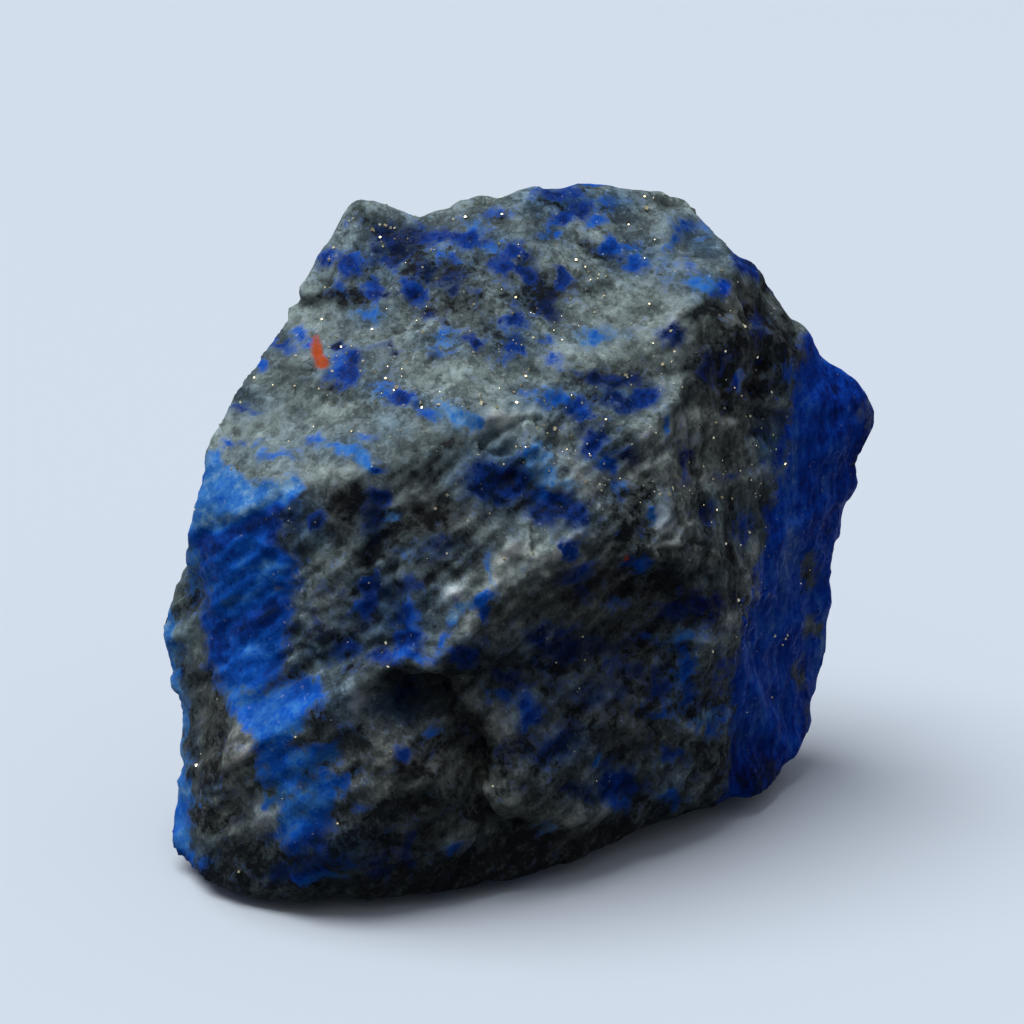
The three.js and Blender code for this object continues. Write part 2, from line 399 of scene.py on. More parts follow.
minerals = {
    # soft-edged veins of lazurite: outline, softness of the edge in pixels, most cover, and depth of the blue
    # from chalky 0 to navy 1
    "veins": [
        (rows("""
            204,455 216,455 230,468 246,480 265,486 296,478 300,488 286,506 240,524 196,542 190,512
        """), 16, 1.1, 0.22),
        (rows("""
            190,534 240,513 286,500 286,522 276,540 293,556 296,575 286,600 290,622 280,642 284,668
            262,690 226,690 212,660 207,632 208,600 203,560
        """), 24, 1.15, 0.5),
        (rows("224,686 262,690 300,680 322,676 318,698 300,722 282,740 256,752 246,732"), 20, 1.0, 0.38),
        (rows("""
            254,750 280,738 300,746 330,740 338,754 328,772 342,784 338,806 330,828 308,848 288,850
            276,838 282,808 268,790 254,772
        """), 22, 0.8, 0.42),
        (rows("""
            808,328 802,352 800,400 788,434 786,462 781,480 770,509 762,545 757,580 749,615 738,648
            736,690 736,740 732,770 722,800 800,830 920,700 920,400 860,320
        """), 20, 1.15, 0.48),
        (rows("160,606 172,612 179,640 176,680 186,700 190,790 198,800 190,850 160,850"), 12, 1.05, 0.22),
    ],
    # blue blotches: u, v, half width, half height, how much of it there is, depth of its blue, tilt
    # 826,612 is a pale blue strip along the right outline: painted rim light
    "blotches": patches("""
    # the top face, from its left to its right
    324,258,7,9,.95,.8 352,264,14,9,1.15,.76 362,255,14,5,.7,.6 387,262,16,5,.85,.9 374,292,8,9,1,.72,-30
    337,289,9,7,.7,.6 414,289,13,10,1.1,.7,-10 411,293,5,4,1.3,.9 396,239,22,9,.95,1 405,252,12,5,.75,1
    432,236,17,8,.9,.8,5 476,226,12,7,.65,.3 467,239,15,9,1.25,.82,-10 492,248,16,7,.6,.4,-15
    515,252,13,7,1.15,.85 505,267,13,8,1.25,.8 527,272,10,8,1.15,.88 448,276,14,11,.8,.95
    425,270,10,8,.8,.95 455,290,10,8,.8,1 452,258,14,5,.55,.5 428,312,8,5,.75,.9 369,315,14,7,.65,.3
    300,336,10,5,.6,.45 283,341,10,4,.8,.7 264,363,7,5,.65,.5 240,407,13,4,.7,.75,5 258,409,6,4,.7,.6
    338,347,9,5,1.2,1 344,371,14,12,1.1,.7,-20 352,362,8,9,1,.85 444,338,13,7,.5,.3 472,344,7,7,1.1,.85
    511,320,9,8,.85,.78 512,345,11,8,.95,.75 502,361,12,5,.35,.45 530,322,8,10,.3,.6 562,281,8,12,1.1,.85
    551,304,9,13,.7,.95,-30 545,340,9,7,.6,.5 556,192,22,7,.8,.8,5 584,207,10,12,.9,.8,-40
    562,219,9,6,.95,.66 550,233,12,8,.6,.42 499,213,12,7,.5,.5 611,204,18,9,.45,.5 610,247,8,7,1,.6
    616,253,7,5,.8,1 628,248,12,6,.7,.5 634,263,11,8,.9,.58 667,270,7,16,.4,.3,25 690,228,20,8,.6,.5,5
    672,243,9,5,.6,.35,30 702,282,15,9,.85,.34,-10 721,288,7,8,1,.66 748,266,14,7,1.1,.85,-30
    672,334,11,11,.85,.85 597,338,24,7,.6,.22 576,371,12,4,.55,.75 380,388,12,6,.5,.35,-20
    402,396,15,7,1,.7,-15 428,411,15,6,.65,.36,-20 458,415,19,10,1.15,.22,-25 552,396,16,9,.8,.42
    578,408,14,10,1,.66,-20 536,392,12,6,.5,.4 233,444,9,4,.95,.6,5 256,445,8,4,.7,.5 275,456,18,5,.8,.4
    318,441,12,6,.55,.4 345,449,13,5,.8,.35,-15 364,461,14,6,.9,.28,-38 376,469,8,4,.9,.78,-25
    361,437,11,5,.55,.4,10 392,352,8,12,.5,.9 440,350,14,5,.5,.5 690,262,8,12,.35,.4 385,345,10,5,.4,.7
    # below the brow
    382,498,11,8,.9,.9,-20 391,517,8,5,.95,.2,20 315,521,9,7,1,.85 291,518,12,12,.8,.85 372,520,8,22,.6,.95
    350,622,80,36,.3,.85,5 368,579,10,5,.9,.45,35 370,590,12,9,.95,.85 386,592,16,10,.6,1
    366,608,8,12,.9,.75,-30 407,586,11,11,.65,.85 408,612,12,14,.95,.76 410,636,13,12,1,.74
    404,656,22,6,1,.55 382,656,17,7,.8,.85 356,611,16,4,.8,.42,45 350,648,20,8,.6,.75 440,548,16,12,.6,.95
    401,556,10,8,.3,.4 497,479,28,14,1.15,.88,-5 487,484,20,14,1.15,1 500,496,18,7,.75,1
    562,510,22,14,1,.95,-30 534,459,11,12,1.15,.1,-20 545,475,13,9,1.15,.14,-45 529,452,13,5,.5,.7
    552,500,14,8,1,.55,-20 566,483,10,6,.9,.02 545,515,20,10,.7,.85 594,442,10,14,.9,.8,-10
    606,464,9,9,.9,.55 618,450,8,5,.6,.3 614,484,9,6,.6,.35 648,396,14,12,1.1,.82 610,378,26,8,.9,.95
    622,402,24,9,.85,.9 667,424,5,11,.95,.3 628,458,12,8,.7,.85 585,428,16,7,.5,.9 453,617,6,5,1.3,.14
    463,606,10,6,1,.25,25 486,598,11,5,.95,.4,20 487,611,5,11,1.05,.62 442,640,5,20,.6,.5,-35
    491,570,5,12,.7,.3 656,515,4,7,1,.3 640,569,9,7,.95,.55,20 571,551,10,9,.85,.62 582,568,12,8,.6,.75
    565,650,16,11,.85,1 510,673,18,5,.85,1 460,655,12,7,.9,.88 706,602,18,8,.85,.95 680,612,22,7,.75,.9
    540,636,10,12,.7,.8 562,632,14,6,.6,.7,10 620,606,14,6,.45,.5,30 590,600,14,10,.35,.7
    600,650,40,8,.5,.98,10 648,640,16,5,.4,.5
    # the right-hand face
    711,368,10,14,.6,.95 686,461,4,20,.72,.9 759,321,6,7,.65,.85 757,338,6,10,.5,.9 734,381,4,7,.9,.65,-20
    740,376,4,9,1.1,.03 738,474,18,4,.5,.3,12 710,515,5,18,.45,.75 744,526,5,16,.6,.5 779,452,8,16,.8,.72
    774,466,12,10,.6,.5 688,637,24,6,.75,.3 686,668,9,20,.8,.65 662,685,16,20,.5,.7 664,712,16,8,.6,.6
    723,668,8,20,.55,.6 715,714,15,7,.85,.14 704,727,16,8,.75,.5 790,372,8,12,.6,.4 768,425,10,8,.6,.9
    755,605,10,10,.7,.2
    # the lower front
    527,712,12,20,.95,.78 503,692,13,9,.7,.5 520,680,20,7,.5,.7 556,745,24,16,.7,.9,25 597,758,7,8,.95,.45
    616,785,18,15,1.05,.88 617,779,8,7,1,.65 620,804,11,7,.8,.65 580,788,14,8,.7,.95 670,796,10,7,.85,.5
    672,757,10,9,.7,.7 549,824,6,5,.8,.1,10 600,690,60,20,.4,.85,10 620,670,20,10,.5,.85
    600,735,70,30,.22,.9 435,734,9,5,.6,.4,-15 407,757,7,6,.9,.75 450,846,14,5,.6,.45,25
    375,864,10,12,.6,.85,20 406,852,8,12,.55,.8 315,877,20,4,1,.35 325,750,18,7,.9,.4,40
    342,779,16,7,.75,.45,20 307,704,9,15,.6,.6,40 355,808,14,6,.35,.4,20 192,860,9,12,.8,.5
    300,868,36,8,.7,1,15 400,708,22,16,.45,.95 280,740,20,5,1.2,.42,30 268,746,10,5,1.2,.45,20
    193,556,7,40,.75,.28 345,862,14,5,.5,.5,20 520,750,24,14,.35,.9 758,650,14,22,1,.6 600,222,10,5,.7,.45
    388,297,11,5,.75,.85 554,362,13,9,.6,.5,-30 290,348,8,6,.6,.55 226,509,34,8,1.2,.32,14
    572,574,14,9,.6,.85 688,695,12,10,.75,.66 272,797,10,8,.9,.4 315,838,14,10,.9,.6 306,343,8,6,.7,.5
    208,790,12,8,.6,.5 826,612,18,5,1.2,.35,88 402,690,14,8,.5,.85
    """, 2),
    "blotchDepth": (0.72, 1.08),  # times its depth, at its rim and in its middle
    # where the veins' own blue turns deeper or paler, a few of them painted light and shade: u, v, half
    # width, half height, change of depth, tilt
    # 760,778 deepens the blue near the foot: painted shade
    # 822,650 is painted rim light along the right outline, and 172,645 along the left one
    "shades": patches("""
    235,534,36,7,.24,12 220,500,26,5,.08,10 222,511,26,5,-.1,10 262,504,16,5,-.22,30 290,483,16,6,-.22,25
    214,632,13,11,.2 216,652,11,9,.18 205,545,12,10,.15 278,520,20,24,.28 227,600,14,4,-.14,12
    268,567,8,4,-.25,10 245,597,14,5,-.2,30 270,572,16,5,-.22,20 243,566,26,14,-.06,15 255,654,18,5,-.15,10
    250,628,26,8,.15,15 270,612,22,10,.2,20 262,695,16,6,-.14,20 310,695,16,20,.1 300,722,20,6,-.12,25
    250,708,8,12,.1 298,773,16,5,-.2,10 300,795,14,8,-.12 300,812,16,5,-.15,25 318,824,20,12,.12
    295,842,20,10,.14 270,765,14,8,.1 318,842,20,8,.25 810,356,14,26,-.03 800,430,10,40,-.1,-8
    842,380,22,24,.14 855,430,16,50,.16 866,440,8,50,.25 822,410,14,50,.1 792,472,8,20,-.1
    825,470,8,30,-.06,-5 808,500,10,26,.12 790,556,8,34,-.2,-8 803,560,8,24,-.1 772,530,14,16,.16
    822,570,10,50,.12 766,560,8,10,-.1 765,610,14,24,.06 768,690,20,40,-.04 752,700,8,50,.04
    775,730,10,20,.05 800,720,16,40,.16 790,625,12,20,.06 760,778,44,22,.5 750,728,16,12,-.12
    300,742,14,9,.25 228,522,26,5,-.16,12 770,634,18,6,-.14,20 298,718,14,8,.12 328,836,16,8,.14
    244,590,34,60,.12 822,650,46,4,-.3,76 812,700,10,30,.1 752,646,6,5,-.4 172,645,8,14,-.1 184,740,6,40,.1
    180,825,10,24,.2
    """),
    # light rock, which is calcite and diopside, and dark rock, with the change of paleness. Some tones are
    # painted light and shade: highlights on the tops of small lumps and along a ridge, shadows under the
    # ridge and the ledge's lip, and shade along the foot
    # 175,646 is painted rim light along the left outline
    # 249,753 and 267,821 are painted highlights on the tops of small lumps
    # 250,862 is painted shade along the foot
    # 345,668 is painted shadow under the ledge's lip; 224,872 below and 600,830 and 600,842 after it are
    # painted shade along the foot
    # 356,700 and 455,592 here, and 509,553, 434,666, 646,434, 662,512 and 667,530 below, are painted
    # highlights on the tops of small lumps
    # 385,764 here and 490,787 below are painted highlights on the tops of small lumps, and 325,852 is painted
    # shade along the foot
    # 610,850 is painted shade along the foot
    # 659,366 and 655,345 are a painted highlight along the ridge, and 622,371 here and 578,377 below painted
    # shadow under it
    # 716,765 is painted shade near the foot, and 362,670 painted shadow under the ledge's lip
    "tones": patches("""
    # broad changes first
    300,400,80,80,.08 430,208,70,9,.06,3 325,570,30,34,.14 674,420,8,54,.3 675,362,9,18,.3
    688,318,13,22,.5,20 680,235,12,12,.3 705,335,34,46,-.08 383,235,14,9,.24 378,268,18,9,.14
    450,262,26,6,.14 460,302,30,5,.2 405,316,8,10,.14 350,325,14,7,.12 293,352,8,10,.12 430,350,10,8,.2
    458,370,24,6,.12 540,345,20,18,.1 597,352,26,20,.24 695,415,20,8,.2 565,425,10,8,.2 410,426,14,10,.3
    494,432,30,14,.5,36 620,463,20,15,.45,30 582,476,18,16,.4 425,495,34,7,.45,10 385,480,10,6,.2
    225,437,14,10,.18 313,548,14,9,.38,30 192,655,11,18,.4,-15 660,518,12,14,.3 420,575,10,6,.2,20
    563,551,18,9,.42,30 434,632,9,14,.35,-30 452,605,10,8,.2 516,580,15,12,.28 503,602,8,8,.2
    728,480,26,9,.36,12 732,438,26,14,.26 768,450,7,22,.35 742,505,10,10,.25 772,420,10,14,.2
    712,392,12,6,.15 270,812,10,13,.5 245,765,9,10,.2 216,840,8,11,.2 384,698,32,8,.45,5 368,576,12,7,.25,20
    440,571,12,6,.25,20 447,690,8,12,.24 471,765,6,14,.2 496,722,11,20,.36 465,752,18,9,.26,15
    538,640,14,10,.22 562,810,20,10,.4,25 748,266,11,6,.45,-35 622,395,14,6,.25 605,777,13,8,.4
    590,792,10,5,.25,20 725,587,13,5,.3,10 215,840,8,10,.2 245,770,10,8,.14 575,283,26,10,-.26
    345,284,10,8,-.15 413,272,10,10,-.15 535,280,10,12,-.2 620,285,14,6,-.15 322,301,26,4,-.2
    408,276,5,18,-.2 462,282,12,6,-.2 738,335,12,14,-.2 708,352,16,7,-.18 775,362,18,12,-.2 640,555,12,8,-.3
    627,520,13,16,-.34 690,510,8,14,-.2 585,588,13,15,-.24 708,590,26,11,-.28 650,665,24,16,-.34
    710,612,16,9,-.3 716,765,18,22,-.5 370,626,13,11,-.28 362,670,44,8,-.36,22 345,530,14,9,-.2
    412,530,30,8,-.25,15 470,812,13,9,-.36 385,552,14,7,-.2,30 590,722,20,18,-.36 214,782,13,14,-.4
    250,862,60,10,-.3 440,655,10,6,-.2 666,418,12,10,.35 672,329,10,8,.25 701,300,10,6,.3 757,362,6,8,.3
    716,370,12,9,.2 727,392,14,6,.2,30 727,426,10,10,.3 722,458,12,8,.22 764,460,7,12,.25 631,503,12,6,.35
    494,444,12,7,.3,20 509,425,8,10,.2 545,514,42,5,.32,10 557,490,8,8,.3 583,477,8,6,.2 390,488,12,6,.3
    428,505,26,5,.3,5 220,447,10,12,.25 200,600,16,6,.25 346,622,14,6,.3,40 500,622,12,8,.35 540,636,8,8,.3
    573,629,8,6,.25 565,549,10,6,.2,35 532,562,12,8,.22 522,596,8,10,.2 630,582,26,6,.25,10 668,555,10,5,.3
    722,582,16,5,.3,10 757,598,8,6,.3 376,682,12,6,.3,30 352,696,14,6,.3,10 661,677,8,6,.25 609,777,13,7,.25
    682,783,16,8,.3,40 558,799,12,9,.3 272,806,8,12,.25 212,838,10,13,.25 342,872,8,8,.22 458,734,12,10,.15
    624,733,10,12,.2 318,316,16,9,-.15 566,294,12,8,-.22 505,296,9,7,-.15 705,318,4,14,-.25 742,325,10,8,-.2
    676,346,9,5,-.2 716,412,8,10,-.35 775,383,10,7,-.25 683,482,6,14,-.3 636,468,18,4,-.25,40
    555,519,12,5,-.3 453,444,14,8,-.2 618,527,14,10,-.2 290,496,10,6,-.3 390,553,26,5,-.3,30
    468,532,10,6,-.25 409,621,8,8,-.25 564,590,10,8,-.25 664,592,14,5,-.2 720,606,14,5,-.25
    472,668,30,8,-.25 345,668,40,6,-.2,28 556,658,14,8,-.2 668,646,14,6,-.2 690,702,10,6,-.2
    204,745,10,10,-.3 468,810,14,8,-.2 392,772,10,6,-.2 527,838,14,8,-.3 224,872,26,8,-.25
    600,830,30,8,-.22,10 455,642,9,12,-.25 372,612,30,8,-.15 600,842,60,8,-.3,12
    # the top face
    396,238,22,8,-.4 378,222,34,3,-.2 412,264,64,30,-.24 352,297,22,7,-.6 322,299,14,5,-.4
    428,268,30,14,-.15 450,300,24,12,-.28 474,268,16,8,-.3 490,334,16,14,-.34 516,300,14,10,-.3
    425,352,16,5,-.28 436,312,24,10,-.2 388,273,14,8,.3 245,394,10,4,-.5,-5 288,372,40,24,-.12
    304,373,30,2,-.26,-5 312,382,26,2,-.22,-6 335,389,22,3,-.3,-8 484,214,14,6,-.2 500,222,12,8,-.2
    408,322,9,16,.3 386,427,9,10,.35 310,404,16,5,.3 342,235,16,9,.14 318,280,14,10,.16 320,314,26,8,.14
    345,310,16,8,.1 300,440,44,26,.12 325,474,40,6,.28,8 428,375,22,10,.1 497,417,18,7,.5,5
    511,419,8,5,.4,20 512,228,24,16,.12 480,385,30,20,.06 555,203,16,6,-.5 630,232,24,10,-.1
    595,251,15,4,-1,-33 592,236,16,5,.16,-20 612,281,22,5,.2,-10 575,285,26,16,-.1 548,310,18,16,-.3,-30
    535,294,14,12,-.32 622,318,56,28,.14 659,366,10,26,.2 655,345,30,8,.1,10 622,371,30,8,-.6,5
    578,377,14,4,-.3 545,378,14,12,-.05 540,412,26,7,.12 655,230,18,10,.06 668,265,7,14,.2,20
    605,222,22,8,.06 700,253,22,10,-.08,-35 702,311,20,6,-.8 470,302,10,8,-.2
    # below the brow
    448,443,20,6,-.3,5 402,458,30,14,-.16 400,482,26,7,-.1 390,520,74,38,-.14 426,489,20,6,.4,35
    452,480,12,7,.34,20 340,505,34,14,-.2 385,510,14,20,-.24 432,512,34,10,-.3,10 500,528,20,10,.05
    325,533,13,7,.42 341,572,12,9,.34,20 303,577,10,6,.36 326,605,24,14,-.06 314,632,18,6,-.5
    345,621,10,3,.5,40 334,631,9,4,.4,20 390,562,24,6,.44,38 428,545,26,12,-.24 428,584,18,14,-.34,20
    356,700,9,9,.85,20 372,682,14,5,.4,55 395,690,26,14,-.14 335,672,16,6,.2,20 455,592,10,11,.9,35
    436,612,12,16,.26 427,638,9,5,.4 470,626,9,14,.5,-20 509,553,13,9,.85,35 498,574,9,13,.5,-10
    490,588,8,8,.3 532,549,10,6,.45,20 557,557,11,4,.8,30 434,666,8,4,.9 600,428,20,10,-.1 575,460,20,12,.2
    620,470,12,8,.2 520,440,26,7,.06 646,434,12,11,.6 563,484,9,6,.6,20 575,507,20,10,-.2,-20
    600,505,14,6,-.15 640,498,22,12,-.34 609,527,6,11,.5,-20 662,512,5,14,.85 667,530,5,8,.9
    625,548,18,10,-.14 688,542,18,6,.2,20 514,505,26,8,-.25 576,534,8,8,.45 547,578,22,9,.1,20
    668,548,14,4,.65,25
    # the right-hand face
    708,366,32,28,-.42 772,332,24,18,-.42 744,282,8,8,.25 720,330,26,12,-.12 768,300,20,14,-.1
    746,327,6,5,.4 786,314,5,14,.2,40 765,362,9,5,-.9,-10 768,371,6,4,.4 762,388,13,4,-.8,-15
    756,398,12,4,-.5,-10 776,405,11,5,.8 789,384,7,12,.3 740,377,3,9,.8 706,414,9,10,.36 690,424,6,40,.16
    755,434,10,4,-.5,-15 706,481,9,5,.8 735,475,22,4,.6,15 768,466,12,5,.5 770,478,6,10,.35
    697,500,12,22,-.16 724,515,6,6,.3 733,430,22,20,-.04 745,300,16,14,-.12 700,450,7,50,-.1
    700,570,40,14,-.14 692,562,7,5,.4,40 733,620,7,10,.5 762,595,14,4,.6,-10 748,632,9,20,.3
    690,636,26,5,.55 712,641,12,3,.6 655,664,6,5,.3 690,714,5,4,-.8 718,712,5,4,-.8 700,728,18,9,.45
    712,768,12,9,.1 690,786,22,12,.16 706,700,10,30,-.1 752,550,3,10,.6 710,445,34,50,-.06
    # the overhang and the lower front
    665,582,44,12,-.24 640,628,70,14,-.2,8 500,662,50,9,-.16 560,655,40,12,-.2 522,648,9,6,.6
    566,608,10,9,.25 600,610,14,10,.2 450,700,40,14,-.2,-30 470,742,18,26,-.24,-20 386,744,18,6,.2
    385,764,8,5,.9 360,742,16,6,.26 352,752,16,6,.16,30 400,782,30,8,.1,25 325,852,44,10,-.45,25
    378,815,28,8,-.34,45 490,787,8,8,.7 515,801,12,5,.5,20 440,792,26,12,-.08 472,835,20,3,.65,12
    498,729,12,8,.5 500,714,12,8,.3 545,785,14,16,-.3 520,748,18,12,-.24 578,768,14,9,.34 570,823,9,7,.6
    600,812,18,6,.16,10 549,826,6,4,.6 548,788,9,5,.5 640,715,30,20,.04 610,850,80,9,-.4,15
    470,868,60,12,-.16,5 400,690,30,12,-.14 540,664,34,6,-.12 480,702,10,6,.3,-20 440,770,120,70,-.06
    650,770,8,14,.16
    # the left-hand edge
    175,646,9,10,.5 192,598,12,8,-.4 192,676,14,16,-.35 190,640,10,14,.2 216,716,18,18,-.1 232,730,6,12,.3
    249,753,12,4,.85,30 240,775,14,18,.16 213,772,14,10,-.2 267,821,9,6,1 256,827,14,5,.4,10
    236,795,20,6,.34 212,846,12,8,.34 204,812,10,8,-.25 240,845,20,12,-.12 230,862,30,8,-.05 220,806,6,6,.4
    """),
    "paleness": 0.41,  # of the rock before its tones
    "topPaler": 0.18,
    "rightPaler": 0.02,
    "paintedShadeAtFoot": ((13, 1, 0.28), (30, 16, 0.05)),  # painted shade: darker from one height down to the other, by so much
    # cloudiness that follows the rock's layers: size in mm, seed
    "bedCloud": (6, 51),
    "fluteCloud": (3.2, 52),
    "topCloud": (4, 53),
    "cloudPaleness": 0.3,
    "cloudDepth": 0.12,
    # painted light and shade: paler where the relief stands out, darker where it lies low
    "reliefLightAndShade": 0.2,
    # rock that a little blue has stained
    "washes": patches("""
    412,256,66,32,.6 565,200,40,16,.9 550,232,18,14,.6 636,256,30,18,.7 668,262,16,34,.45,25
    700,240,34,16,.7,-30 704,284,22,14,.7 490,246,26,16,.7 612,204,26,14,.8 535,300,26,22,.35
    705,580,36,20,.5 612,496,14,10,.5 211,790,14,10,.7 512,335,24,22,.6 368,314,24,12,.6 335,445,40,12,.5
    590,338,30,10,.35 345,360,30,16,.5 560,400,40,16,.6 440,342,26,14,.5 620,398,40,14,.7
    385,390,26,14,.5,-15 445,412,34,14,.5,-20 505,480,50,32,.9 560,508,34,22,.8,-20 600,452,22,26,.6
    298,510,26,22,.8 292,580,16,110,.5 310,530,26,16,.7 395,610,46,40,.8 375,520,18,36,.7
    345,650,50,16,.7,10 440,548,34,16,.6 330,700,30,40,.6,40 300,800,50,56,.4 340,850,60,20,.8,20
    200,560,16,50,.8 184,740,12,80,.7 190,860,30,20,.8 180,640,14,40,.4 690,630,40,14,.5 680,690,34,46,.5
    715,718,30,16,.7 590,690,70,24,.4 560,750,40,24,.6,20 615,786,34,24,.6 668,776,22,30,.5 525,710,26,26,.6
    430,735,30,14,.4 400,704,36,22,.8 440,848,40,10,.4,10 555,652,60,22,.6 470,650,24,12,.6 708,368,26,22,.3
    742,526,14,26,.6 710,515,12,26,.5 772,445,16,34,.9 785,380,12,24,.6 764,322,14,18,.4
    745,266,24,12,.7,-30 650,640,30,10,.4 640,570,16,12,.4 662,514,10,22,.5 250,400,24,16,.4
    285,345,20,10,.4 270,455,40,12,.3 390,425,20,20,.4
    """),
    # rock that breaks into a busy mosaic of light and dark
    "busy": patches("""
    412,262,80,40,.9 530,300,50,40,.6 590,240,60,50,.5 500,340,40,24,.6 440,320,50,30,.6 600,400,60,30,.5
    560,460,60,30,.3 625,440,50,40,.4 400,392,50,16,.5 770,400,34,60,.6 740,620,40,40,.6 690,710,60,60,.6
    520,770,90,70,.3 240,790,40,60,.3 370,780,60,60,.3 640,760,60,50,.4 360,222,50,20,.6 560,200,60,24,.5
    470,620,60,50,.3 530,560,50,30,.2 780,620,50,60,.4 640,520,50,40,.6 300,600,40,80,.4
    """),
    # brown rock
    "brown": patches("""
    735,400,60,100,.8 700,580,70,60,1 620,600,90,50,1,18 350,505,50,26,.9 640,710,90,70,.8 225,760,44,80,.9
    450,750,120,70,1 745,320,40,50,.8 310,590,34,34,.4 440,512,50,24,.9 440,690,60,24,1 500,620,60,40,.7
    590,650,90,30,1 193,600,14,12,.7 400,830,90,50,.9,20 600,490,70,40,.7 560,840,120,30,.9,15
    690,480,34,50,.7 400,560,60,50,.4
    """),
    # gaps in the blue, where the rock shows through
    "bare": patches("""
    798,674,9,19,1 810,573,8,20,1.15 812,628,10,16,1 806,712,8,22,.7 775,704,8,7,.6 772,597,7,9,.6
    861,414,8,20,.9 828,480,7,5,.2 842,495,7,5,.4 250,745,9,7,.6 299,790,9,6,.5 287,620,10,8,.2
    275,592,4,4,.9 786,612,6,5,.4 260,816,11,11,.9 318,772,10,5,.4,30 766,570,6,8,.3 208,781,12,12,.9
    191,816,8,12,.6 329,734,10,8,.4 400,608,9,8,.4 758,423,9,12,.4 671,735,8,7,.3
    """),
    "rust": patches("319,350,7,13,1.2,10 323,362,8,6,1.1,30 628,561,3,4,.9"),
    "rustGap": patches("334,346,9,9,1.5,20"),  # bitten out of the spot, which leaves a crescent
    # the sides that the camera doesn't see: a vein's place across the layers, half thickness, how much, depth
    "hiddenVeins": [(61, 4.6, 1.0, 0.5), (25, 5.4, 0.95, 0.62), (43, 1.8, 0.8, 0.4)],
    "hiddenDepth": 0.55,
    "hiddenBand": (34, 6),  # the blue of the right-hand side begins this far out, over so many mm
}


def cloudy(name, points):  # three layers of noise
    size, seed = minerals[name]
    return layersAt(points, size, seed, 3)


print("laying the minerals")
blueSeen = np.zeros(len(base))
weights = np.full(len(base), 1e-4)
depthSum = weights * 0.5
for outline, soft, most, depth in minerals["veins"]:
    there = np.clip(most * (0.5 + insideOutline(uSoft, vSoft, outline) / soft), 0, most)
    blueSeen = np.maximum(blueSeen, there)
    weights += there ** 4
    depthSum += there ** 4 * depth
rimDepth, middleDepth = minerals["blotchDepth"]
for *oval, much, depth in minerals["blotches"]:
    fall = patch(uSoft, vSoft, *oval)
    blueSeen = np.maximum(blueSeen, much * fall)
    weights += (much * fall) ** 4
    depthSum += (much * fall) ** 4 * depth * (rimDepth + (middleDepth - rimDepth) * fall)
blueSeen -= highest(uSoft, vSoft, minerals["bare"])
depthSeen = depthSum / weights + summed(uSoft, vSoft, minerals["shades"])
paleSeen = minerals["paleness"] + minerals["topPaler"] * onTop + minerals["rightPaler"] * onRight
paleSeen += summed(uSoft, vSoft, minerals["tones"])
# painted shade, darker towards the foot
for high, low, darker in minerals["paintedShadeAtFoot"]:
    paleSeen -= darker * smoothStep(-base[:, 2], -high, -low)
drift = (1 - onTop - onRight) * cloudy("bedCloud", bedded) + onRight * cloudy("fluteCloud", fluted)
drift += 0.5 * onTop * cloudy("topCloud", base)
# the cloud varies the rock's paleness, and the relief's height paints light on what stands out and shade in
# what lies low
paleSeen += minerals["cloudPaleness"] * drift + minerals["reliefLightAndShade"] * height
depthSeen -= minerals["cloudDepth"] * drift
brownSeen = highest(uSoft, vSoft, minerals["brown"])
washSeen = highest(uSoft, vSoft, minerals["washes"])
busySeen = highest(uSoft, vSoft, minerals["busy"])
rust = highest(u, v, minerals["rust"]) - highest(u, v, minerals["rustGap"])

across = base @ unit(relief["beddingRise"]) + 3.5 * noiseAt(base, 16, 31) + 1.2 * noiseAt(base, 5, 32)
blueHidden = 0.45 * smoothStep(noiseAt(squeezed(base, relief["beddingRise"], 2), 9, 33), 0.1, 0.6)
depthHidden = minerals["hiddenDepth"] + 0.2 * noiseAt(base, 10, 36)
for place, half, much, depth in minerals["hiddenVeins"]:
    there = much * np.clip(1 - (across - place) ** 2 / half ** 2 / 2, 0, 1)
    blueHidden = np.maximum(blueHidden, there)
    depthHidden += (depth - minerals["hiddenDepth"]) * there
bandFrom, bandSoft = minerals["hiddenBand"]
bandEdge = base[:, 0] - bandFrom + 2.5 * noiseAt(base, 7, 34)
blueHidden = np.maximum(blueHidden, np.clip(0.5 + bandEdge / bandSoft, 0, 1))
paleHidden = 0.45 + 0.12 * onTop + 0.35 * layersAt(bedded, 14, 35, 3)
brownHidden = 0.35 + 0.4 * noiseAt(base, 18, 37)


def bothSides(seenValue, hiddenValue, most=1):  # hidden + (seen - hidden) * how much the camera sees
    return np.clip(hiddenValue + (seenValue - hiddenValue) * seen, 0, most)


masks = {
    "lazurite": bothSides(blueSeen, blueHidden, 1.2),
    "depth": bothSides(depthSeen, depthHidden),
    "pale": bothSides(paleSeen, paleHidden, 1.5),
    "brown": bothSides(brownSeen, brownHidden),
    "wash": bothSides(washSeen, blueHidden),
    "busy": bothSides(busySeen, 0.5),
    "rust": np.clip(rust, 0, 1) * seen,
    # painted shade in the hollows and painted light on what stands out
    "hollow": np.clip(0.5 + hollow * 0.8, 0, 1),
    "fluting": np.clip(onRight, 0, 1),
}


# Meshes and materials.

def newObject(name, points, faces):  # points in mm, faces as rows of corner numbers
    mesh = bpy.data.meshes.new(name)
    mesh.from_pydata((points * mm).tolist(), [], faces)
    made = bpy.data.objects.new(name, mesh)
    bpy.context.scene.collection.objects.link(made)
    return made


def newPiece(name, points, faces, smooth):  # a piece of the stone, attached to the root body
    piece = newObject(name, points, faces.tolist())
    piece.data.polygons.foreach_set("use_smooth", [smooth] * len(faces))
    piece.data.update()
    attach(piece, "root")
    return piece


def newMaterial(name):
    material = bpy.data.materials.new(name)
    material.use_nodes = True
    material.node_tree.nodes.clear()
    return material


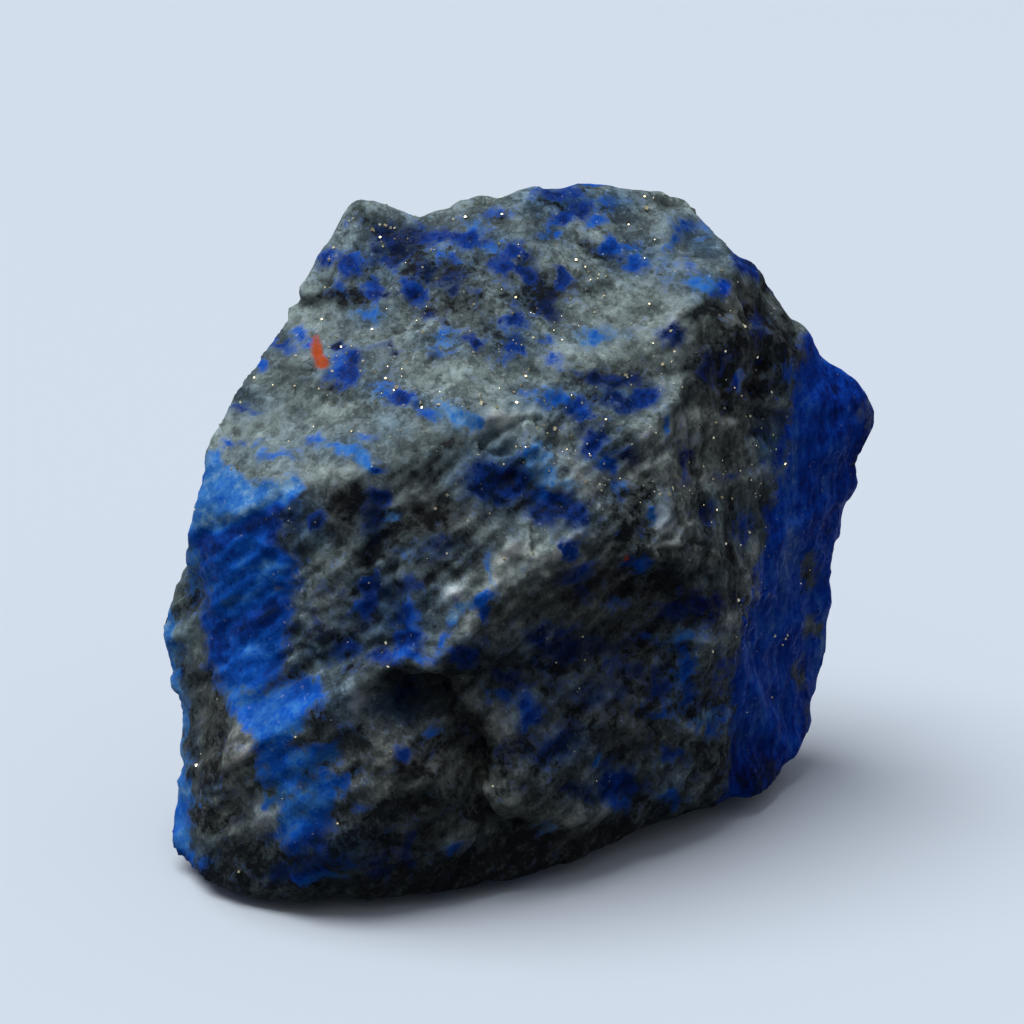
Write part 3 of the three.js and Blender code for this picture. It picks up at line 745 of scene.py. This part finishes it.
def addNode(owner, kind, inputs=None, settings=None):
    # One node and its outputs. Inputs are numbers, colours or another node's output, settings its properties.
    made = owner.node_tree.nodes.new("ShaderNode" + kind)
    for key, value in (settings or {}).items():
        setattr(made, key, value)
    for key, value in (inputs or {}).items():
        if isinstance(value, bpy.types.NodeSocket):
            owner.node_tree.links.new(value, made.inputs[key])
        else:
            made.inputs[key].default_value = value
    return made.outputs


def perMetre(size):  # a texture's scale for a feature of this many mm
    return 1 / (size * mm)


# Rock of lazurite, calcite and diopside, broken by hammer: a sugary, matt break with hardly any gloss, deep
# blue where the lazurite is solid, chalky where it is thin, and grey with dark mica where there is none.
rockLook = {
    "rock": ["#1a1f22", "#5e6b6b", "#a1b3b2", "#e6efea"],  # from its darkest to its palest
    "blue": ["#8bb8de", "#3e82cf", "#0f5bc6", "#0a378e", "#071a3b"],  # from chalky to navy
    "rockStep": 0.5,  # of paleness, from one to the next
    "blueStep": 0.25,
    "brownTint": "#ffece2",
    "washTint": "#74b2f2",
    "violetTint": "#e4d6ff",  # the blue of the fluted face leans towards violet
    "rust": "#b24c26",
    # the colour of the painted glints on crystal faces
    "crystal": "#dfe5e4",
    # patterns: size in mm, octaves past the first, and how much those count
    "patterns": {
        "cloud": (6.5, 3, 0.55),
        "blotch": (2.3, 3, 0.6),
        "mottle": (0.9, 2, 0.6),
        "speckle": (1.7, 2, 0.6),
        "grain": (0.36, 1, 0.5),
        "flute": (1, 3, 0.6),
        "bed": (1, 3, 0.6),
    },
    "fluteSize": (1.0, 7.0),  # mm across and along
    "bedSize": (0.8, 4.5),
    "flakeSize": 1.1,
    "crystalSize": 0.45,
    "flakeBend": (0.8, 0.9),  # size of the bends in the flakes' edges, and how far they go
    # how much each pattern moves the cover and the depth of the blue, the paleness of the rock and the bumps
    "blueBreaks": {"blotch": 0.8, "mottle": 0.5, "flake": 0.22, "smallFlake": 0.14},
    "depthVaries": {"cloud": 0.3, "blotch": 0.4, "mottle": 0.3, "flake": 0.1, "smallFlake": 0.1},
    "rockSpeckle": {"speckle": 0.5, "mottle": 0.45, "grain": 0.18, "flake": 0.22, "smallFlake": 0.16},
    "rustBreaks": {"mottle": 0.5, "grain": 0.6},
    "bumps": {"grain": 0.4, "mottle": 0.6},
    "busyGain": 1.2,
    "streakDepth": 0.45,
    "streakPaleness": 0.4,
    "streakBump": 0.2,
    "bump": (0.3, 0.3),  # strength, and height in mm
    "hollowShade": (1.08, 0.7),  # painted light and shade: brightness of what stands out and of what lies deep
    "glintLuck": 0.94,  # share of the grains that get no painted glint
    # how much of the painted glint colour the middle of a lucky grain gets
    "glintPaintShare": 0.25,
    "roughness": (0.48, 0.83),
    "ior": 1.5,
    "specular": 0.07,  # a broken face scatters nearly all of its gloss
}


def rockMaterial(look):
    m = newMaterial("lapis rock, hammer-broken")
    smooth, rgba = {"interpolation_type": "SMOOTHSTEP"}, {"data_type": "RGBA"}
    multiply, multiplyAdd = {"operation": "MULTIPLY"}, {"operation": "MULTIPLY_ADD"}
    place = addNode(m, "TexCoord")["Object"]
    amount = {name: addNode(m, "Attribute", {}, {"attribute_name": name})["Fac"] for name in masks}

    # flutes run upwards and beds along the layers: round noise of 1 mm, stretched to their sizes
    rise = relief["beddingRise"]
    (fluteAcross, fluteAlong), (bedAcross, bedAlong) = look["fluteSize"], look["bedSize"]
    stretched = {}
    for name, turn, wide, high in (("flute", 0.0, fluteAcross, fluteAlong),
                                   ("bed", -np.arctan2(rise[0], rise[2]), bedAlong, bedAcross)):
        turned = addNode(m, "Mapping", {"Vector": place, "Rotation": (0, turn, 0)})[0]
        squeeze = (1 / wide, 1 / wide, 1 / high)
        stretched[name] = addNode(m, "Mapping", {"Vector": turned, "Scale": squeeze})[0]
    tone = {}
    for name, (size, octaves, share) in look["patterns"].items():
        tone[name] = addNode(m, "TexNoise", {"Vector": stretched.get(name, place), "Scale": perMetre(size),
                             "Detail": octaves, "Roughness": share})["Fac"]

    # mineral flakes and crystals: each cell has one tone of its own, and the edges between cells are bent
    bendSize, bendBy = look["flakeBend"]
    bend = addNode(m, "TexNoise", {"Vector": place, "Scale": perMetre(bendSize), "Detail": 1})["Color"]
    bent = addNode(m, "VectorMath", {0: bend, 1: (bendBy * mm,) * 3, 2: place}, multiplyAdd)[0]
    cells, luck = {}, {}
    for name in ("flake", "crystal"):
        scale = perMetre(look[name + "Size"])
        cells[name] = addNode(m, "TexVoronoi", {"Vector": bent, "Scale": scale}, {"feature": "F1"})
        luck[name] = addNode(m, "SeparateColor", {"Color": cells[name]["Color"]})
    tone["flake"], tone["smallFlake"] = luck["flake"][0], luck["crystal"][2]

    def swayed(start, weights):  # start + the sum of (tone - 0.5) * weight
        for name, weight in weights.items():
            start = addNode(m, "Math", {0: tone[name], 1: weight, 2: start}, multiplyAdd)[0]
        return addNode(m, "Math", {0: start, 1: sum(weights.values()) / 2}, {"operation": "SUBTRACT"})[0]

    def blended(value, step, colours):  # straight from colour to colour, which stand a step apart from 0 up
        result = linearColour(colours[0])
        for k, colour in enumerate(colours[1:]):
            share = {"Value": value, "From Min": k * step, "From Max": (k + 1) * step}
            share = addNode(m, "MapRange", share)[0]
            result = addNode(m, "Mix", {0: share, 6: result, 7: linearColour(colour)}, rgba)[2]
        return result

    # the lazurite lies in soft-edged patches that break up into grains
    flutes, beds = swayed(0.0, {"flute": 2.2}), swayed(0.0, {"bed": 0.9})
    streaks = addNode(m, "Math", {0: flutes, 1: amount["fluting"], 2: beds}, multiplyAdd)[0]
    busier = addNode(m, "Math", {0: amount["busy"], 1: look["busyGain"], 2: 1.0}, multiplyAdd)[0]
    broken = swayed(0.0, look["blueBreaks"])
    cover = addNode(m, "Math", {0: broken, 1: busier, 2: amount["lazurite"]}, multiplyAdd)[0]
    blue = addNode(m, "MapRange", {"Value": cover, "From Min": 0.1, "From Max": 0.8}, smooth)[0]
    depth = swayed(amount["depth"], look["depthVaries"])
    depth = addNode(m, "Math", {0: streaks, 1: look["streakDepth"], 2: depth}, multiplyAdd)[0]
    lapis = blended(depth, look["blueStep"], look["blue"])

    # the rock between is cloudy, speckled and streaked
    speckle, cloudy = swayed(0.0, look["rockSpeckle"]), swayed(amount["pale"], {"cloud": 0.4})
    paleness = addNode(m, "Math", {0: speckle, 1: busier, 2: cloudy}, multiplyAdd)[0]
    paleness = addNode(m, "Math", {0: streaks, 1: look["streakPaleness"], 2: paleness}, multiplyAdd)[0]
    rock = blended(paleness, look["rockStep"], look["rock"])

    rusty = swayed(amount["rust"], look["rustBreaks"])
    rust = addNode(m, "MapRange", {"Value": rusty, "From Min": 0.25, "From Max": 0.8}, smooth)[0]
    # painted shade and light: the colour is darkened where the surface lies deep and brightened where it
    # stands out
    light, dark = look["hollowShade"]
    shade = addNode(m, "MapRange", {"Value": amount["hollow"], "From Min": 0.25, "From Max": 0.95,
                    "To Min": light, "To Max": dark}, smooth)[0]

    # painted glints: pale crystal faces mixed into the colour, as if they caught the light here and there
    above = {"operation": "GREATER_THAN"}
    lucky = addNode(m, "Math", {0: luck["crystal"][0], 1: look["glintLuck"]}, above)[0]
    face = addNode(m, "MapRange", {"Value": cells["crystal"]["Distance"], "From Min": 0.25, "From Max": 0.45,
                   "To Min": look["glintPaintShare"], "To Max": 0.0}, smooth)[0]
    onPale = addNode(m, "MapRange", {"Value": paleness, "From Min": 0.2, "From Max": 0.8}, smooth)[0]
    bright = addNode(m, "Math", {0: lucky, 1: face}, multiply)[0]
    bright = addNode(m, "Math", {0: bright, 1: onPale}, multiply)[0]

    # each coat covers or tints what lies under it by its share
    tinted = addNode(m, "Mix", {0: amount["fluting"], 6: lapis, 7: linearColour(look["violetTint"])},
                     rgba | {"blend_type": "MULTIPLY"})[2]
    colour = rock
    for share, coat, blend in ((amount["brown"], linearColour(look["brownTint"]), "MULTIPLY"),
                               (amount["wash"], linearColour(look["washTint"]), "MULTIPLY"),
                               (blue, tinted, "MIX"), (rust, linearColour(look["rust"]), "MIX"),
                               (1.0, shade, "MULTIPLY"), (bright, linearColour(look["crystal"]), "MIX")):
        colour = addNode(m, "Mix", {0: share, 6: colour, 7: coat}, rgba | {"blend_type": blend})[2]

    strength, rise = look["bump"]
    bumps = swayed(0.0, look["bumps"])
    heights = addNode(m, "Math", {0: streaks, 1: look["streakBump"], 2: bumps}, multiplyAdd)[0]
    bump = addNode(m, "Bump", {"Strength": strength, "Distance": rise * mm, "Height": heights})[0]
    glossiest, mattest = look["roughness"]
    shine = {"Value": luck["crystal"][1], "To Min": glossiest, "To Max": mattest}
    shine = addNode(m, "MapRange", shine, smooth)[0]
    shader = addNode(m, "BsdfPrincipled", {"Base Color": colour, "Roughness": shine, "IOR": look["ior"],
                     "Specular IOR Level": look["specular"], "Normal": bump})[0]
    addNode(m, "OutputMaterial", {"Surface": shader})
    return m


print("building the stone")
stonePiece = newPiece("lapis_rock_surface", surface, quads, True)
for name, values in masks.items():
    layer = stonePiece.data.attributes.new(name, "FLOAT", "POINT")
    layer.data.foreach_set("value", values.astype(np.float32))
stonePiece.data.materials.append(rockMaterial(rockLook))
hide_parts(stone["node"])


# Pyrite grains, half sunk in the surface.

pyrite = {
    "count": 520,
    "smallest": 0.12,  # mm across
    "largest": 0.32,
    "sunk": 0.5,  # share of its size that each lies below the surface
    "stretch": (0.7, 1.2),  # of each axis of a cube
    # how likely grains are anywhere, in a crowd and on the top face
    "anywhere": 0.025,
    "onTop": 0.15,
    "clearOfFoot": 2,  # mm
    # grains that stand out: u, v, mm across before they are all made smaller
    "bright": rows("""
    386,378,.55 391,380,.5 397,386,.75 403,388,.45 372,227,.6 382,227,.7 377,226,.4 388,226,.6 395,229,.5
    380,236,.5 786,634,.5 781,644,.4 333,248,.5 329,260,.5 500,244,.6 438,278,.5 473,304,.5 513,313,.5
    482,402,.7 437,405,.65 420,402,.55 468,408,.4 555,429,.6 544,426,.4 648,209,.8 646,196,.5 448,494,.5
    625,376,.6 674,349,.45 671,331,.6 385,643,.5 672,487,.4 669,495,.45 533,552,.6 586,482,.5 503,558,.5
    322,320,.4 311,315,.35 394,350,.4 406,362,.45 412,357,.35 526,376,.45 529,371,.4 340,348,.4 348,352,.35
    329,347,.4 745,326,.6 757,358,.4 770,394,.4 692,418,.4 717,422,.4 392,750,.4 340,821,.4 455,219,.5
    466,218,.4 598,275,.4 588,270,.4 606,277,.4 785,463,.35 775,637,.4 785,640,.4 773,695,.35 637,460,.35
    572,463,.35 354,218,.35 349,219,.35 435,250,.4 390,256,.35 423,267,.35 237,468,.35 230,469,.35
    241,400,.4 295,384,.35 329,404,.3 376,403,.4 480,396,.4 528,555,.4 713,480,.35
    """),
    "brightSize": 0.68,
    "crowds": patches("""
    360,225,40,20,1 400,235,50,40,1 400,360,50,40,.9 440,400,60,14,1 590,275,40,24,1 640,200,50,16,.8
    500,330,60,40,.6 550,440,60,40,.5 650,350,30,40,.6 760,420,40,80,.5 780,630,30,60,.5 700,480,50,20,.5
    """),
    "colours": ("#dfcf9f", "#f5edd0"),
    "tarnishSize": 1.5,
    "roughness": 0.3,
}


def randomTurns(count):  # random turns as quaternions (w, x, y, z), written out as 3 by 3 matrices
    w, x, y, z = unit(dice.normal(size=(count, 4))).T
    turns = [1 - 2 * (y * y + z * z), 2 * (x * y - w * z), 2 * (x * z + w * y),
             2 * (x * y + w * z), 1 - 2 * (x * x + z * z), 2 * (y * z - w * x),
             2 * (x * z - w * y), 2 * (y * z + w * x), 1 - 2 * (x * x + y * y)]
    return np.stack(turns, 1).reshape(count, 3, 3)


def grainCubes(centres, sizes):  # corner = centre + turn . (+-1, +-1, +-1) * stretch * size / 2
    cube = np.array([(x, y, z) for x in (-1, 1) for y in (-1, 1) for z in (-1, 1)], float)
    sides = np.array([(0, 1, 3, 2), (4, 6, 7, 5), (0, 4, 5, 1), (2, 3, 7, 6), (0, 2, 6, 4), (1, 5, 7, 3)])
    stretch = dice.uniform(*pyrite["stretch"], (len(centres), 1, 3)) * sizes[:, None, None] / 2
    points = centres[:, None] + np.einsum("nij,nkj->nki", randomTurns(len(centres)), cube * stretch)
    faces = sides[None] + np.arange(len(centres))[:, None, None] * len(cube)
    return points.reshape(-1, 3), faces.reshape(-1, 4)


print("scattering the pyrite")
finalNormals = normalsOf(surface, quads)
uFinal, vFinal = inFrame(surface)
turnedAway = finalNormals @ -forward < 0.05
crowd = pyrite["anywhere"] + highest(uFinal, vFinal, pyrite["crowds"]) * seen + pyrite["onTop"] * onTop
crowd *= np.clip(1.1 - masks["rust"] - masks["lazurite"], 0, 1) * (surface[:, 2] > pyrite["clearOfFoot"])
chosen = dice.choice(len(surface), pyrite["count"], replace=False, p=crowd / crowd.sum())
sizes = pyrite["smallest"] + (pyrite["largest"] - pyrite["smallest"]) * dice.random(len(chosen)) ** 3
bright = np.array(pyrite["bright"])
gap = np.hypot(uFinal[None] - bright[:, :1], vFinal[None] - bright[:, 1:2]) + 1e3 * turnedAway
chosen = np.concatenate([chosen, gap.argmin(1)])
sizes = np.concatenate([sizes, bright[:, 2] * pyrite["brightSize"]])
middles = surface[chosen] + finalNormals[chosen] * (sizes * (0.5 - pyrite["sunk"]))[:, None]
grainPiece = newPiece("pyrite_grains", *grainCubes(middles, sizes), False)


# Pyrite, natural cube and grain faces: a hard brassy mirror, a little tarnished from place to place.
def pyriteMaterial(look):
    m = newMaterial("pyrite, natural faces")
    place = addNode(m, "TexCoord")["Object"]
    scale = perMetre(look["tarnishSize"])
    tarnish = addNode(m, "TexNoise", {"Vector": place, "Scale": scale, "Detail": 2})["Fac"]
    dull, clean = (linearColour(colour) for colour in look["colours"])
    colour = addNode(m, "Mix", {0: tarnish, 6: dull, 7: clean}, {"data_type": "RGBA"})[2]
    shader = addNode(m, "BsdfPrincipled", {"Base Color": colour, "Metallic": 1.0,
                     "Roughness": look["roughness"]})
    addNode(m, "OutputMaterial", {"Surface": shader[0]})
    return m


grainPiece.data.materials.append(pyriteMaterial(pyrite))


# The studio.

studio = {
    "floorRadius": 4000,  # mm
    "floor": "#ced8e4",
    "floorRoughness": 0.9,
    "paperGrain": (900, 0.2, 0.05),  # grains to the metre, their height in mm, and strength
    "sky": "#f2f6ff",
    "skyTop": 0.35,  # brightness of the ceiling, and of the dark room below it
    "skyLow": 0.03,
    "horizon": (-0.05, 0.6),  # heights of a direction between which the ceiling brightens
    "keyStrength": 2.6,
    "keyAngle": 50,  # degrees across, which sets how soft the shadows are
    "keyFrom": (-0.34, 0.04, 1.0),
}


def studioFloor(radius, rings=24, spokes=96):  # (r cos t, r sin t, 0), with t round the floor
    turn = np.linspace(0, 2 * np.pi, spokes, endpoint=False)
    r = np.linspace(0, 1, rings + 1)[1:] ** 2 * radius
    ring = np.stack([np.outer(r, np.cos(turn)), np.outer(r, np.sin(turn)), np.zeros((rings, spokes))], -1)
    points = np.concatenate([ring.reshape(-1, 3), [(0, 0, 0)]])
    k = np.arange(spokes)
    after = (k + 1) % spokes
    faces = np.stack([np.full(spokes, rings * spokes), k, after], 1).tolist()
    for i in range(rings - 1):
        inner, outer = i * spokes, (i + 1) * spokes
        faces += np.stack([inner + k, outer + k, outer + after, inner + after], 1).tolist()
    return points, faces


print("lighting the studio")
floorPiece = newObject("studio_floor", *studioFloor(studio["floorRadius"]))
grainsToMetre, grainHeight, grainStrength = studio["paperGrain"]
paper = newMaterial("matt backdrop paper")
place = addNode(paper, "TexCoord")["Object"]
grain = addNode(paper, "TexNoise", {"Vector": place, "Scale": grainsToMetre, "Detail": 2})["Fac"]
bump = addNode(paper, "Bump", {"Strength": grainStrength, "Distance": grainHeight * mm, "Height": grain})[0]
shader = addNode(paper, "BsdfPrincipled", {"Base Color": linearColour(studio["floor"]), "Normal": bump,
                 "Roughness": studio["floorRoughness"]})
addNode(paper, "OutputMaterial", {"Surface": shader[0]})
floorPiece.data.materials.append(paper)
floorPiece.visible_diffuse = False  # no light is thrown up from below, so the stone's undersides stay dark

world = bpy.data.worlds.new("studio")
bpy.context.scene.world = world
world.use_nodes = True
world.node_tree.nodes.clear()
skyBegins, skyFull = studio["horizon"]
heading = addNode(world, "SeparateXYZ", {0: addNode(world, "TexCoord")["Generated"]})
ceiling = addNode(world, "MapRange", {"Value": heading["Z"], "From Min": skyBegins, "From Max": skyFull,
                  "To Min": studio["skyLow"], "To Max": studio["skyTop"]})[0]
sky = addNode(world, "Background", {"Color": linearColour(studio["sky"]), "Strength": ceiling})
addNode(world, "OutputWorld", {"Surface": sky[0]})


def aimed(name, data, at, towards):  # the object looks along its own -Z from one place to the other
    thing = bpy.data.objects.new(name, data)
    thing.location = at
    thing.rotation_euler = (Vector(towards) - Vector(at)).to_track_quat("-Z", "Y").to_euler()
    bpy.context.scene.collection.objects.link(thing)
    return thing


key = bpy.data.lights.new("key", "SUN")
key.energy = studio["keyStrength"]
key.angle = np.radians(studio["keyAngle"])
aimed("key", key, studio["keyFrom"], (0, 0, 0))

camera = bpy.data.cameras.new("camera")
camera.lens = view["lens"]
camera.sensor_width = view["sensor"]
camera.clip_end = view["farthest"] * mm
aim = Vector(view["aim"]) * mm
cameraAt = aim - Vector(forward) * view["distance"] * mm
bpy.context.scene.camera = aimed("camera", camera, cameraAt, aim)
bpy.context.scene.view_settings.view_transform = "Standard"

print("finishing")
